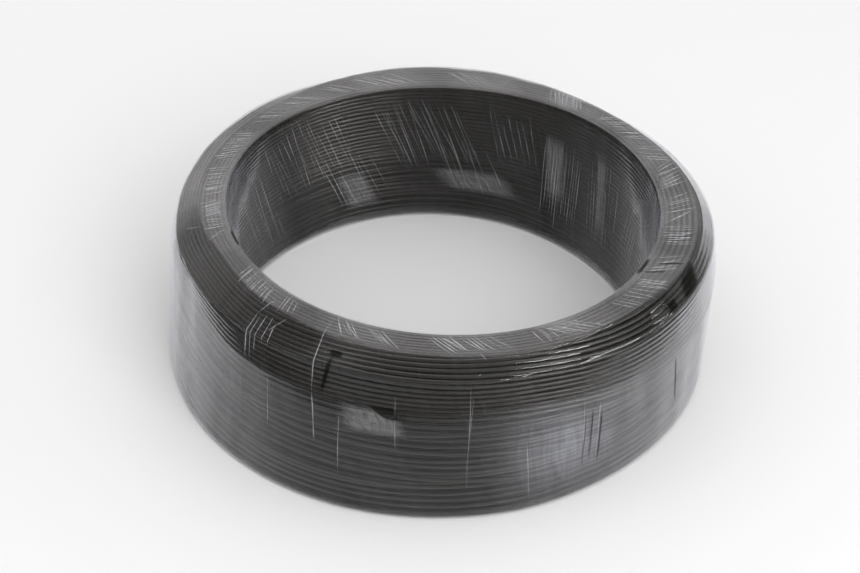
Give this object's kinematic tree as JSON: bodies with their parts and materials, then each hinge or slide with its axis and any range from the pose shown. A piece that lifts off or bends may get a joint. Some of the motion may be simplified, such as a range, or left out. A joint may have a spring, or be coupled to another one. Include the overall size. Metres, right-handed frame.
{
  "type": "coil of vinyl-coated binding wire",
  "caption": "Dense ring of black vinyl-coated binding wire with a bevelled outer shoulder, wrapped in clear stretch film.",
  "frame": {"origin": "centre of the coil's base, on the surface that it lies on", "axes": "+Z is the coil's own axis, upward; the coil is turned about it, so X and Y are any two level directions"},
  "size_m": [0.3192, 0.3192, 0.0972],
  "materials": {
    "vinyl": "semi-gloss black vinyl over steel wire",
    "film": "clear glossy stretch film in overlapping layers"
  },
  "bodies": {
    "root": {"wire_coil": "vinyl", "stretch_film": "film"}
  },
  "joints": []
}
